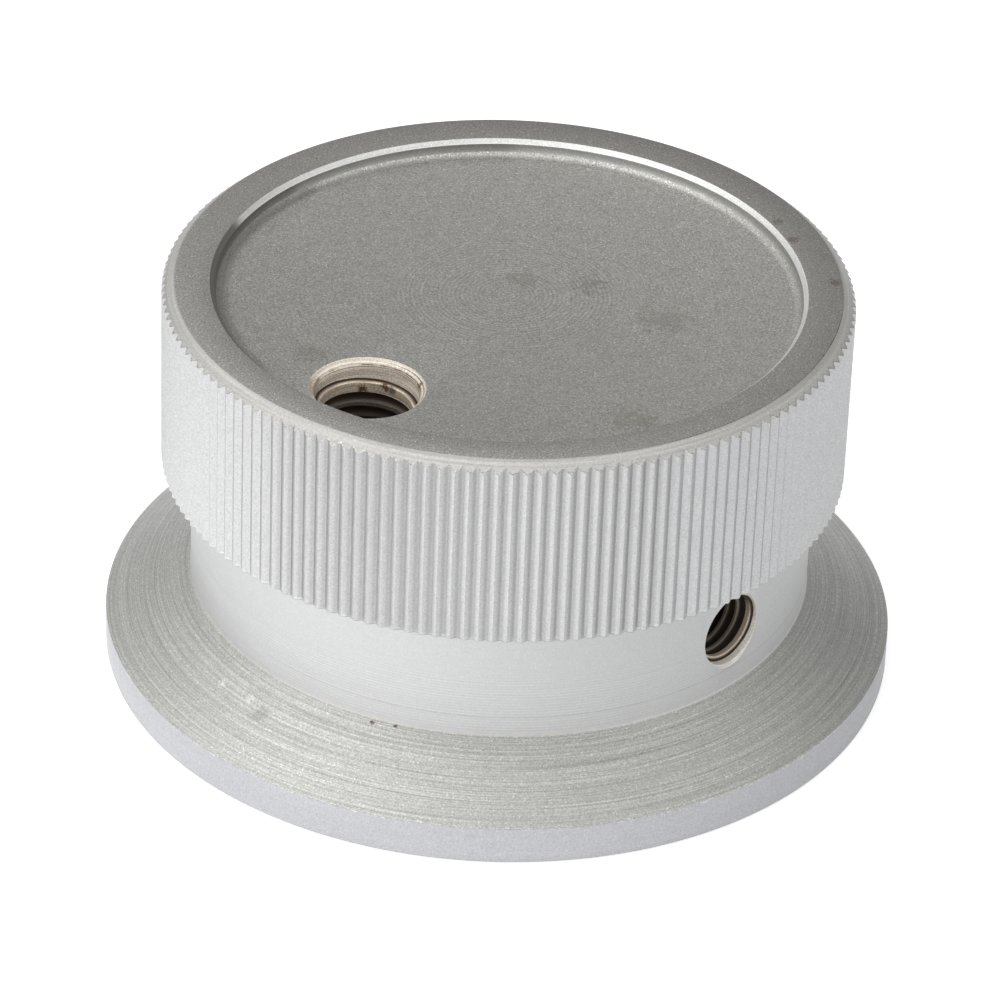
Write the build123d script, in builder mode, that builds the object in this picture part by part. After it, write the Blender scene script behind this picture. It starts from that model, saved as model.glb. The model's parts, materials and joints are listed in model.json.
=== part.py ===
"""Knurled control knob, turned from one bar: a coned skirt, a plain neck and a dished, knurled head.

It is drilled for three things: a shaft from below, a set screw through the neck and a crank
handle in the head. All sizes are in millimetres and degrees. The origin is the centre of the
base, and +Z is the turning axis, towards the head.
"""
import os
from math import cos, radians, sin, tan

from build123d import *

# Skirt
skirt_diameter = 64.0
skirt_rim_height = 3.3
skirt_slope = 30.0
base_edge_break = 0.35

# Neck
neck_diameter = 50.2
neck_height = 10.3

# Head
knurl_diameter = 55.0
head_height = 16.0
head_chamfer_width = 1.0
head_chamfer_drop = 0.85

# Straight knurl, cut as V grooves along the head
knurl_count = 157
knurl_depth = 0.32
knurl_groove_angle = 95.0

# Dished top of the head
recess_diameter = 46.6
recess_depth = 1.3
recess_edge_break = 0.3
recess_corner_radius = 0.9

# Tapped hole for a crank handle, M8, with a plain mouth above its thread
handle_hole_offset = 18.25
handle_hole_angle = -125.6
handle_drill_diameter = 6.8
handle_mouth_diameter = 8.2
handle_mouth_depth = 1.5
handle_countersink_diameter = 9.1
handle_hole_depth = 18.0

# Tapped hole for a set screw, M6, from the neck through to the shaft bore
set_screw_angle = -42.3
set_screw_drill_diameter = 5.0
set_screw_countersink_diameter = 6.5

# Blind bore for the shaft, from below
shaft_bore_diameter = 12.0
shaft_bore_depth = 24.0
shaft_bore_chamfer = 0.5

# A twist drill leaves this angle at the bottom of a blind hole, and a countersink this one at a mouth
drill_point_angle = 118.0
countersink_angle = 90.0

# Radii and heights that follow from the sizes above
skirt_radius = skirt_diameter / 2
neck_radius = neck_diameter / 2
knurl_radius = knurl_diameter / 2
recess_radius = recess_diameter / 2
handle_drill_radius = handle_drill_diameter / 2
handle_mouth_radius = handle_mouth_diameter / 2
handle_countersink_radius = handle_countersink_diameter / 2
set_screw_drill_radius = set_screw_drill_diameter / 2
set_screw_countersink_radius = set_screw_countersink_diameter / 2
shaft_bore_radius = shaft_bore_diameter / 2
neck_foot_z = skirt_rim_height + (skirt_radius - neck_radius) * tan(radians(skirt_slope))
head_bottom_z = neck_foot_z + neck_height
head_top_z = head_bottom_z + head_height
recess_floor_z = head_top_z - recess_depth
set_screw_z = (neck_foot_z + head_bottom_z) / 2


def round_the_axis(radius, angle, height):
    """A point at this radius from the turning axis, at an angle from +X and a height."""
    return (radius * cos(radians(angle)), radius * sin(radians(angle)), height)


def countersink_depth(outer_radius, inner_radius):
    """How deep a countersink goes between two radii."""
    return (outer_radius - inner_radius) / tan(radians(countersink_angle / 2))


def drill_point(radius):
    """How far a drill's point reaches past its full width."""
    return radius / tan(radians(drill_point_angle / 2))


def half_section(mouth, outline):
    """Half of a turned hole: points of (radius, depth) from the mouth's rim inwards to the axis."""
    inward_plane = Plane(mouth.origin, x_dir=mouth.x_dir, z_dir=mouth.y_dir)
    with BuildSketch(inward_plane) as section:
        with BuildLine():
            Polyline((0, 0), *outline, close=True)
        make_face()
    return section.sketch


with BuildPart() as knob:
    # The turned outline, from the axis at the base round the skirt and neck to the top of the head
    with BuildSketch(Plane.XZ):
        with BuildLine():
            Polyline(
                (0, 0),
                (skirt_radius - base_edge_break, 0),
                (skirt_radius, base_edge_break),
                (skirt_radius, skirt_rim_height),
                (neck_radius, neck_foot_z),
                (neck_radius, head_bottom_z),
                (knurl_radius, head_bottom_z),
                (knurl_radius, head_top_z - head_chamfer_drop),
                (knurl_radius - head_chamfer_width, head_top_z),
                (0, head_top_z),
                close=True,
            )
        make_face()
    revolve(axis=Axis.Z)

    # The dish in the top, with a rounded corner and a broken edge
    with BuildSketch(Plane.XY.offset(head_top_z)):
        Circle(recess_radius)
    extrude(amount=-recess_depth, mode=Mode.SUBTRACT)
    recess_edges = edges(Select.LAST).filter_by(GeomType.CIRCLE).sort_by(Axis.Z)
    fillet(recess_edges[0], radius=recess_corner_radius)
    chamfer(recess_edges[-1], length=recess_edge_break)

    # The knurl: one V to a groove along the whole head, so that each fades out in the chamfer.
    # The V is drawn as deep again outside the head as its groove is inside it.
    v_half_width = 2 * knurl_depth * tan(radians(knurl_groove_angle / 2))
    with BuildSketch(Plane.XY.offset(head_bottom_z)):
        with PolarLocations(knurl_radius, knurl_count):
            Polygon((-knurl_depth, 0), (knurl_depth, -v_half_width), (knurl_depth, v_half_width))
    extrude(amount=head_height, mode=Mode.SUBTRACT)

    # The handle hole, down from the floor of the dish
    handle_mouth = Plane(round_the_axis(handle_hole_offset, handle_hole_angle, recess_floor_z))
    handle_thread_top = handle_mouth_depth + countersink_depth(handle_mouth_radius, handle_drill_radius)
    handle_outline = [
        (handle_countersink_radius, 0),
        (handle_mouth_radius, countersink_depth(handle_countersink_radius, handle_mouth_radius)),
        (handle_mouth_radius, handle_mouth_depth),
        (handle_drill_radius, handle_thread_top),
        (handle_drill_radius, handle_hole_depth),
        (0, handle_hole_depth + drill_point(handle_drill_radius)),
    ]
    handle_axis = Axis(handle_mouth.origin, handle_mouth.z_dir)
    revolve(half_section(handle_mouth, handle_outline), axis=handle_axis, mode=Mode.SUBTRACT)

    # The shaft bore, up from the base
    shaft_mouth = Plane.XY.rotated((180, 0, 0))
    shaft_outline = [
        (shaft_bore_radius + shaft_bore_chamfer, 0),
        (shaft_bore_radius, shaft_bore_chamfer),
        (shaft_bore_radius, shaft_bore_depth),
        (0, shaft_bore_depth + drill_point(shaft_bore_radius)),
    ]
    revolve(half_section(shaft_mouth, shaft_outline), axis=Axis.Z, mode=Mode.SUBTRACT)

    # The set screw hole, in from the neck to the middle of the shaft bore
    set_screw_mouth = Plane(
        round_the_axis(neck_radius, set_screw_angle, set_screw_z),
        x_dir=(0, 0, 1),
        z_dir=round_the_axis(1, set_screw_angle, 0),
    )
    set_screw_outline = [
        (set_screw_countersink_radius, 0),
        (set_screw_drill_radius, countersink_depth(set_screw_countersink_radius, set_screw_drill_radius)),
        (set_screw_drill_radius, neck_radius),
        (0, neck_radius),
    ]
    set_screw_axis = Axis(set_screw_mouth.origin, set_screw_mouth.z_dir)
    revolve(half_section(set_screw_mouth, set_screw_outline), axis=set_screw_axis, mode=Mode.SUBTRACT)

knob.part.label = "knob"

os.makedirs("parts", exist_ok=True)
export_step(knob.part, "parts/knob.step")
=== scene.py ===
"""Dresses the knurled knob: one turned aluminium piece with a knurled, dished head and two tapped holes.

Sizes in the classes are millimetres and degrees. Meshes are drawn in millimetres and stored in
metres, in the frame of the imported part: +Z is the turning axis and the base stands at height 0.
"""

import json
import logging
from collections.abc import Sequence
from dataclasses import dataclass
from enum import Enum
from math import cos, pi, radians, sin, tan, tau

import bmesh
import bpy
from mathutils import Matrix, Vector

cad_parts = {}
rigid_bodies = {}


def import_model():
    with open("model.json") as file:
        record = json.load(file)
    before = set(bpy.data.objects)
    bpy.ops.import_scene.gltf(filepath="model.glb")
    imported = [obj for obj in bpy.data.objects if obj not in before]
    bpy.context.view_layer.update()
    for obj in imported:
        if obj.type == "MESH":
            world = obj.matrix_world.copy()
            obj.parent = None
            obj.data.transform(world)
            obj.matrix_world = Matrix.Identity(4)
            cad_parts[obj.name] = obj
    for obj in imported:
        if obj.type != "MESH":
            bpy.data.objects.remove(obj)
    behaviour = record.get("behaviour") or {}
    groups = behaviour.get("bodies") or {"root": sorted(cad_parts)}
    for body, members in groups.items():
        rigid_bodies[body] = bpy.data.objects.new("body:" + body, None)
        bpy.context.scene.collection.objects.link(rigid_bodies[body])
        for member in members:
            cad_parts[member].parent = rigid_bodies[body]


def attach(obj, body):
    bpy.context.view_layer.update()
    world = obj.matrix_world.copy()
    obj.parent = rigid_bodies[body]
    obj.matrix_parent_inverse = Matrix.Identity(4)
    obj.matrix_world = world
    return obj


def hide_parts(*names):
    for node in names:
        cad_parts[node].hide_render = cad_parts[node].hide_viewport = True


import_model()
log = logging.getLogger("knurled_knob")

MILLIMETRE = 0.001
SMOOTH_BELOW = 34.0
DRILL_POINT_ANGLE = 118.0

Colour = tuple[float, float, float]
Point = tuple[float, float, float]
Spots = Sequence[tuple[float, float]]
Socket = bpy.types.NodeSocket
Outputs = bpy.types.NodeOutputs

ORIGIN: Point = (0.0, 0.0, 0.0)


class Zone(Enum):
    """The areas of the knob that differ in finish, in the order of the mesh's material slots."""

    BASE = "base"
    SKIRT_RIM = "skirt rim"
    SKIRT = "skirt"
    NECK = "neck"
    UNDERSIDE = "head underside"
    KNURL = "knurl"
    KNURL_BURR_SHADE = "knurl burr shade"
    HEAD_CHAMFER = "head chamfer"
    HEAD_TOP = "head top"
    DISH_EDGE = "dish edge"
    DISH_WALL = "dish wall"
    DISH_FLOOR = "dish floor"
    HANDLE_MOUTH = "handle hole mouth"
    HANDLE_THREAD = "handle hole thread"
    SCREW_MOUTH = "set screw mouth"
    SCREW_THREAD = "set screw thread"
    SHAFT_BORE = "shaft bore"

    @property
    def slot(self) -> int:
        """The material slot that this zone's faces use."""
        return list(Zone).index(self)


class Run(Enum):
    """The direction in which a tool mark's place is measured."""

    OUTWARD = "Radius"
    UPWARD = "Height"
    INTO_HOLE = "Depth"
    ACROSS_HOLE = "Reach"


# Node trees


class NodeSheet:
    """A node tree being drawn up: it adds nodes, fills their inputs and joins them."""

    COLOUR_BELOW, COLOUR_ABOVE, MIXED_COLOUR = 6, 7, 2

    def __init__(self, tree: bpy.types.NodeTree) -> None:
        """Starts on a tree, and removes the nodes that it has."""
        self.tree = tree
        tree.nodes.clear()

    def add(self, kind: str, inputs: dict | None = None, **settings: object) -> bpy.types.Node:
        """Adds a node.

        Args:
            kind: The node's type name.
            inputs: Values or sockets for its inputs, by name or index.
            settings: Properties of the node.

        Returns:
            The new node.
        """
        node = self.tree.nodes.new(kind)
        for name, value in settings.items():
            setattr(node, name, value)
        for key, value in (inputs or {}).items():
            if isinstance(value, Socket):
                self.tree.links.new(value, node.inputs[key])
            else:
                node.inputs[key].default_value = value
        return node

    def math(self, operation: str, *values: object) -> Socket:
        """Adds a Math node for an operation such as MULTIPLY_ADD, and returns its result."""
        return self.add("ShaderNodeMath", dict(enumerate(values)), operation=operation).outputs[0]

    def total(self, first: object, second: object) -> Socket:
        """Adds two values or sockets."""
        return self.math("ADD", first, second)

    def less(self, first: object, second: object) -> Socket:
        """Takes the second value or socket from the first."""
        return self.math("SUBTRACT", first, second)

    def times(self, first: object, second: object) -> Socket:
        """Multiplies two values or sockets."""
        return self.math("MULTIPLY", first, second)

    def over(self, first: object, second: object) -> Socket:
        """Divides the first value or socket by the second."""
        return self.math("DIVIDE", first, second)

    def ramp(
        self, value: object, low: object, high: object, out_low: object = 0.0, out_high: object = 1.0
    ) -> Socket:
        """Maps a value smoothly from one range to another, and holds it at the ends.

        Args:
            value: The value or socket to map.
            low: Where the range starts.
            high: Where the range ends.
            out_low: The result at the start.
            out_high: The result at the end.

        Returns:
            The mapped value's socket.
        """
        inputs = {"Value": value, "From Min": low, "From Max": high, "To Min": out_low, "To Max": out_high}
        node = self.add("ShaderNodeMapRange", inputs, interpolation_type="SMOOTHSTEP", clamp=True)
        return node.outputs["Result"]

    def noise(self, place: Socket, scale: object, detail: float, roughness: float = 0.5) -> Socket:
        """Adds a noise texture and returns its value, from 0 to 1."""
        inputs = {"Vector": place, "Scale": scale, "Detail": detail, "Roughness": roughness}
        return self.add("ShaderNodeTexNoise", inputs).outputs[0]

    def vector(self, operation: str, first: object, second: object) -> Socket:
        """Adds a Vector Math node and returns its value, or its vector if it gives one."""
        node = self.add("ShaderNodeVectorMath", {0: first, 1: second}, operation=operation)
        return node.outputs["Value" if operation in ("DISTANCE", "DOT_PRODUCT") else "Vector"]

    def scaled(self, vector: Socket, factor: Socket) -> Socket:
        """Multiplies a vector by a value."""
        return self.add("ShaderNodeVectorMath", {0: vector, "Scale": factor}, operation="SCALE").outputs[0]

    def grey(self, level: Socket) -> Socket:
        """Makes a grey of this level."""
        return self.add("ShaderNodeCombineColor", {0: level, 1: level, 2: level}).outputs[0]

    def blend(self, factor: object, below: object, above: object, mode: str = "MIX") -> Socket:
        """Mixes two colours.

        Args:
            factor: How much of the upper colour shows, from 0 to 1.
            below: The lower colour or socket.
            above: The upper colour or socket.
            mode: The blend mode.

        Returns:
            The mixed colour's socket.
        """
        inputs = {"Factor": factor, self.COLOUR_BELOW: below, self.COLOUR_ABOVE: above}
        node = self.add("ShaderNodeMix", inputs, data_type="RGBA", blend_type=mode, clamp_factor=True)
        return node.outputs[self.MIXED_COLOUR]


def node_material(name: str) -> tuple[bpy.types.Material, NodeSheet]:
    """Makes an empty node material.

    Args:
        name: The material's name.

    Returns:
        The material and its sheet.
    """
    material = bpy.data.materials.new(name)
    material.use_nodes = True
    return material, NodeSheet(material.node_tree)


# Shader groups


class ShaderEffect:
    """A shader group that several finishes share, built when it is first placed."""

    name: str
    inputs: dict[str, float | Point]
    outputs: tuple[str, ...] = ("Mask",)

    def draw(self, sheet: NodeSheet, given: Outputs) -> tuple[Socket, ...]:
        """Draws the group's nodes.

        Args:
            sheet: The group's sheet.
            given: The group's inputs.

        Returns:
            The results, in the order of the outputs.
        """
        raise NotImplementedError

    def place(self, sheet: NodeSheet, inputs: dict[str, object]) -> Outputs:
        """Places the group in a material.

        Args:
            sheet: The material's sheet.
            inputs: Values or sockets for the group's inputs, by name.

        Returns:
            The outputs of the group's node.
        """
        if self.name not in bpy.data.node_groups:
            self._build()
        return sheet.add("ShaderNodeGroup", inputs, node_tree=bpy.data.node_groups[self.name]).outputs

    def _build(self) -> None:
        """Builds the group with its named sockets."""
        tree = bpy.data.node_groups.new(self.name, "ShaderNodeTree")
        for key, value in self.inputs.items():
            kind = "NodeSocketVector" if isinstance(value, tuple) else "NodeSocketFloat"
            tree.interface.new_socket(key, in_out="INPUT", socket_type=kind).default_value = value
        for key in self.outputs:
            tree.interface.new_socket(key, in_out="OUTPUT", socket_type="NodeSocketFloat")
        sheet = NodeSheet(tree)
        results = self.draw(sheet, sheet.add("NodeGroupInput").outputs)
        sheet.add("NodeGroupOutput", dict(zip(self.outputs, results)))


class TurnedPlace(ShaderEffect):
    """The distance from the turning axis, the height, and the angle as a cosine and a sine."""

    name = "turned_place"
    inputs = {"Place": ORIGIN}
    outputs = ("Radius", "Height", "Cosine", "Sine")
    least_radius = 0.001

    def draw(self, sheet: NodeSheet, given: Outputs) -> tuple[Socket, ...]:
        """Draws the group's nodes.

        Args:
            sheet: The group's sheet.
            given: The group's inputs.

        Returns:
            The results, in the order of the outputs.
        """
        across, along, height = sheet.add("ShaderNodeSeparateXYZ", {0: given["Place"]}).outputs
        squares = sheet.math("MULTIPLY_ADD", along, along, sheet.times(across, across))
        radius = sheet.math("MAXIMUM", sheet.math("SQRT", squares), self.least_radius)
        return radius, height, sheet.over(across, radius), sheet.over(along, radius)


class HolePlace(ShaderEffect):
    """The depth in a hole and the distance from the hole's own axis."""

    name = "hole_place"
    inputs = {"Place": ORIGIN, "Mouth": ORIGIN, "Inward": (0.0, 0.0, -1.0)}
    outputs = ("Depth", "Reach")

    def draw(self, sheet: NodeSheet, given: Outputs) -> tuple[Socket, ...]:
        """Draws the group's nodes.

        Args:
            sheet: The group's sheet.
            given: The group's inputs.

        Returns:
            The results, in the order of the outputs.
        """
        inside = sheet.vector("SUBTRACT", given["Place"], given["Mouth"])
        depth = sheet.vector("DOT_PRODUCT", inside, given["Inward"])
        return depth, sheet.vector("DISTANCE", inside, sheet.scaled(given["Inward"], depth))


class BlastedGrain(ShaderEffect):
    """The fine speckle of blasted metal: a mottled shade with bright glints and dark pits, and a height."""

    name = "blasted_grain"
    inputs = {"Place": ORIGIN, "Grain": 0.2, "Contrast": 0.15, "Glints": 0.3, "Pits": 0.0}
    outputs = ("Shade", "Height")
    broad_scale = 0.12
    crystal_scale = 1.6
    glint_from = 0.95
    pit_from = 0.96
    mottle_swing = 2.6
    broad_swing = 0.3
    least_shade = 0.1

    def draw(self, sheet: NodeSheet, given: Outputs) -> tuple[Socket, ...]:
        """Draws the group's nodes.

        Args:
            sheet: The group's sheet.
            given: The group's inputs.

        Returns:
            The results, in the order of the outputs.
        """
        place = given["Place"]
        scale = sheet.over(1.0, given["Grain"])
        mottle = sheet.less(sheet.noise(place, scale, detail=2.0, roughness=0.65), 0.5)
        broad = sheet.less(sheet.noise(place, sheet.times(scale, self.broad_scale), detail=3.0), 0.5)
        crystals = {"Vector": place, "Scale": sheet.times(scale, self.crystal_scale)}
        lots = sheet.add("ShaderNodeTexVoronoi", crystals).outputs["Color"]
        glint_lot, pit_lot, _ = sheet.add("ShaderNodeSeparateColor", {0: lots}).outputs
        # The glints are painted highlights: bright specks added to the colour.
        glint = sheet.times(sheet.ramp(glint_lot, self.glint_from, 1.0), given["Glints"])
        pit = sheet.times(sheet.ramp(pit_lot, self.pit_from, 1.0), given["Pits"])
        swing = sheet.times(mottle, sheet.times(given["Contrast"], self.mottle_swing))
        drift = sheet.times(broad, sheet.times(given["Contrast"], self.broad_swing))
        shade = sheet.less(sheet.total(sheet.total(1.0, swing), sheet.total(drift, glint)), pit)
        return sheet.math("MAXIMUM", shade, self.least_shade), mottle


class TurningMarks(ShaderEffect):
    """The fine rings of a lathe tool: a shade and a height that change along one run."""

    name = "turning_marks"
    inputs = {
        "Run": 0.0, "Cosine": 1.0, "Sine": 0.0, "Pitch": 0.2, "Contrast": 0.1, "Breaks": 1.5, "Evenness": 0.0
    }
    outputs = ("Shade", "Height")
    even_swing = 0.6
    ring_swing = 3.0

    def draw(self, sheet: NodeSheet, given: Outputs) -> tuple[Socket, ...]:
        """Draws the group's nodes.

        Args:
            sheet: The group's sheet.
            given: The group's inputs.

        Returns:
            The results, in the order of the outputs.
        """
        along = sheet.over(given["Run"], given["Pitch"])
        across, around = (sheet.times(given[side], given["Breaks"]) for side in ("Cosine", "Sine"))
        place = sheet.add("ShaderNodeCombineXYZ", {0: along, 1: across, 2: around}).outputs[0]
        rings = sheet.noise(place, 1.0, detail=2.0, roughness=0.6)
        wave = sheet.math("SINE", sheet.times(along, tau))
        even = sheet.times(sheet.times(wave, rings), sheet.times(given["Evenness"], self.even_swing))
        height = sheet.less(sheet.total(rings, even), 0.5)
        swing = sheet.times(height, sheet.times(given["Contrast"], self.ring_swing))
        return sheet.total(1.0, swing), height


class RingLine(ShaderEffect):
    """A soft mask along one ring of the work, broken here and there."""

    name = "tool_and_light_line"
    inputs = {"Place": ORIGIN, "Run": 0.0, "At": 0.0, "Half Width": 0.1, "Breaks": 0.0, "Size": 1.0}
    full_share = 0.35
    gap_below, whole_above = 0.42, 0.56

    def draw(self, sheet: NodeSheet, given: Outputs) -> tuple[Socket, ...]:
        """Draws the group's nodes.

        Args:
            sheet: The group's sheet.
            given: The group's inputs.

        Returns:
            The results, in the order of the outputs.
        """
        away = sheet.math("ABSOLUTE", sheet.less(given["Run"], given["At"]))
        inner = sheet.times(given["Half Width"], self.full_share)
        noise = sheet.noise(given["Place"], sheet.over(1.0, given["Size"]), detail=3.0, roughness=0.7)
        gaps = sheet.times(sheet.ramp(noise, self.gap_below, self.whole_above, 1.0, 0.0), given["Breaks"])
        line = sheet.ramp(away, inner, given["Half Width"], 1.0, 0.0)
        return (sheet.times(line, sheet.less(1.0, gaps)),)


class Facing(ShaderEffect):
    """A mask for the part of the work that faces one way round the axis."""

    name = "facing"
    inputs = {"Cosine": 1.0, "Sine": 0.0, "Way Cosine": 1.0, "Way Sine": 0.0, "Least": -2.0}
    blur = 0.03

    def draw(self, sheet: NodeSheet, given: Outputs) -> tuple[Socket, ...]:
        """Draws the group's nodes.

        Args:
            sheet: The group's sheet.
            given: The group's inputs.

        Returns:
            The results, in the order of the outputs.
        """
        sideways = sheet.times(given["Sine"], given["Way Sine"])
        towards = sheet.math("MULTIPLY_ADD", given["Cosine"], given["Way Cosine"], sideways)
        return (sheet.ramp(sheet.less(towards, given["Least"]), -self.blur, self.blur),)


class RaggedPatch(ShaderEffect):
    """A mask for a stain or a pit with a ragged edge, round one place."""

    name = "ragged_patch"
    inputs = {"Place": ORIGIN, "Centre": ORIGIN, "Reach": 1.0, "Raggedness": 0.6, "Size": 0.4}
    wobble = 4.0
    rim_fade = 0.12
    thin_at, full_at = 0.1, 0.75

    def draw(self, sheet: NodeSheet, given: Outputs) -> tuple[Socket, ...]:
        """Draws the group's nodes.

        Args:
            sheet: The group's sheet.
            given: The group's inputs.

        Returns:
            The results, in the order of the outputs.
        """
        apart = sheet.vector("DISTANCE", given["Place"], given["Centre"])
        noise = sheet.noise(given["Place"], sheet.over(1.0, given["Size"]), detail=3.0, roughness=0.7)
        nearness = sheet.less(1.0, sheet.over(apart, given["Reach"]))
        ragged = sheet.times(sheet.less(noise, 0.5), sheet.times(given["Raggedness"], self.wobble))
        held = sheet.ramp(nearness, 0.0, self.rim_fade)
        return (sheet.times(sheet.ramp(sheet.total(nearness, ragged), self.thin_at, self.full_at), held),)


class EdgeNicksAndShade(ShaderEffect):
    """A mask for spots scattered along one edge of the work: worn spots, and also spots of painted shade."""

    name = "edge_nicks_and_shade"
    inputs = {"Place": ORIGIN, "Run": 0.0, "At": 0.0, "Half Width": 0.15, "Size": 0.5, "Share": 0.4}
    rise_away = 0.3
    limit_bare = 0.72
    limit_drop = 0.4
    spot_from, spot_full = -0.02, 0.04

    def draw(self, sheet: NodeSheet, given: Outputs) -> tuple[Socket, ...]:
        """Draws the group's nodes.

        Args:
            sheet: The group's sheet.
            given: The group's inputs.

        Returns:
            The results, in the order of the outputs.
        """
        noise = sheet.noise(given["Place"], sheet.over(1.0, given["Size"]), detail=4.0, roughness=0.75)
        away = sheet.math("ABSOLUTE", sheet.less(given["Run"], given["At"]))
        away = sheet.over(away, given["Half Width"])
        limit = sheet.less(self.limit_bare, sheet.times(given["Share"], self.limit_drop))
        limit = sheet.math("MULTIPLY_ADD", away, self.rise_away, limit)
        return (sheet.ramp(sheet.less(noise, limit), self.spot_from, self.spot_full),)


# Shapes


@dataclass(frozen=True)
class Corner:
    """A corner of a turned outline, with the zone of the run that leads to it."""

    radius: float
    height: float
    zone: Zone
    rounding: float = 0.0


def rounded(corners: Sequence[Corner], steps: int = 3) -> list[Corner]:
    """Replaces each corner that has a rounding by the points of an arc.

    Args:
        corners: The outline.
        steps: How many runs make an arc.

    Returns:
        The outline with its arcs.
    """
    outline = [corners[0]]
    for before, corner, after in zip(corners, corners[1:], corners[2:]):
        if not corner.rounding:
            outline.append(corner)
            continue
        here = Vector((corner.radius, corner.height))
        back = (Vector((before.radius, before.height)) - here).normalized()
        ahead = (Vector((after.radius, after.height)) - here).normalized()
        half_turn = (pi - back.angle(ahead)) / 2
        centre = here + (back + ahead).normalized() * corner.rounding / cos(half_turn)
        reach = corner.rounding * tan(half_turn)
        start, end = here + back * reach - centre, here + ahead * reach - centre
        for step in range(steps + 1):
            share = step / steps
            spoke = start.slerp(end, share).normalized() * corner.rounding
            zone = corner.zone if share < 0.5 or step == 0 else after.zone
            outline.append(Corner(centre.x + spoke.x, centre.y + spoke.y, zone))
    outline.append(corners[-1])
    return outline


def full_turn(steps: int, start: float = 0.0) -> list[float]:
    """The angles of a full turn's steps, in radians, from a start in degrees."""
    return [radians(start) + tau * step / steps for step in range(steps)]


def ring(bm: bmesh.types.BMesh, radius: float, height: float, angles: Sequence[float]) -> list:
    """Adds a ring of vertices, or one vertex where the radius is nothing.

    Args:
        bm: The mesh.
        radius: The ring's radius.
        height: The ring's height.
        angles: Where the vertices stand round the Z axis, in radians.

    Returns:
        The vertices.
    """
    if not radius:
        return [bm.verts.new((0.0, 0.0, height))]
    return [bm.verts.new((radius * cos(angle), radius * sin(angle), height)) for angle in angles]


def face(bm: bmesh.types.BMesh, corners: Sequence, zone: Zone) -> None:
    """Adds a face of a zone."""
    bm.faces.new(corners).material_index = zone.slot


def strip(bm: bmesh.types.BMesh, lower: Sequence, upper: Sequence, zone: Zone) -> None:
    """Joins two rows of vertices by four-sided faces, from their first pair to their last."""
    for index in range(len(lower) - 1):
        face(bm, (lower[index], lower[index + 1], upper[index + 1], upper[index]), zone)


def close_ring(bm: bmesh.types.BMesh, lower: Sequence, upper: Sequence, zone: Zone) -> None:
    """Joins two rings of vertices by a strip of faces. A ring of one vertex is a pole.

    Args:
        bm: The mesh.
        lower: The first ring.
        upper: The second ring.
        zone: The zone of the new faces.
    """
    if len(lower) > 1 and len(upper) > 1:
        strip(bm, (*lower, lower[0]), (*upper, upper[0]), zone)
        return
    count = max(len(lower), len(upper))
    for index in range(count):
        following = (index + 1) % count
        if len(lower) == 1:
            face(bm, (lower[0], upper[following], upper[index]), zone)
        else:
            face(bm, (lower[index], lower[following], upper[0]), zone)


def spin(bm: bmesh.types.BMesh, outline: Sequence[Corner], angles: Sequence[float]) -> None:
    """Turns an outline round the Z axis.

    Args:
        bm: The mesh that takes the surface.
        outline: The outline, in order.
        angles: The angles of a full turn's steps, in radians.
    """
    rings = [ring(bm, corner.radius, corner.height, angles) for corner in outline]
    for lower, upper, corner in zip(rings, rings[1:], outline[1:]):
        close_ring(bm, lower, upper, corner.zone)


def mesh_from(bm: bmesh.types.BMesh, name: str) -> bpy.types.Mesh:
    """Stores a mesh drawn in millimetres as a mesh in metres, and frees the drawing.

    Args:
        bm: The drawing.
        name: The mesh's name.

    Returns:
        The mesh.
    """
    bmesh.ops.scale(bm, vec=(MILLIMETRE,) * 3, verts=bm.verts)
    mesh = bpy.data.meshes.new(name)
    bm.to_mesh(mesh)
    bm.free()
    return mesh


def shown(name: str, data: bpy.types.ID) -> bpy.types.Object:
    """Puts a mesh or camera in the scene, at the origin.

    Args:
        name: The object's name.
        data: The mesh or camera.

    Returns:
        The object.
    """
    piece = bpy.data.objects.new(name, data)
    bpy.context.scene.collection.objects.link(piece)
    return piece


def plain_mesh(piece: bpy.types.Object) -> bpy.types.Mesh:
    """Gives an object's mesh as its modifiers leave it."""
    return bpy.data.meshes.new_from_object(piece.evaluated_get(bpy.context.evaluated_depsgraph_get()))


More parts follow.
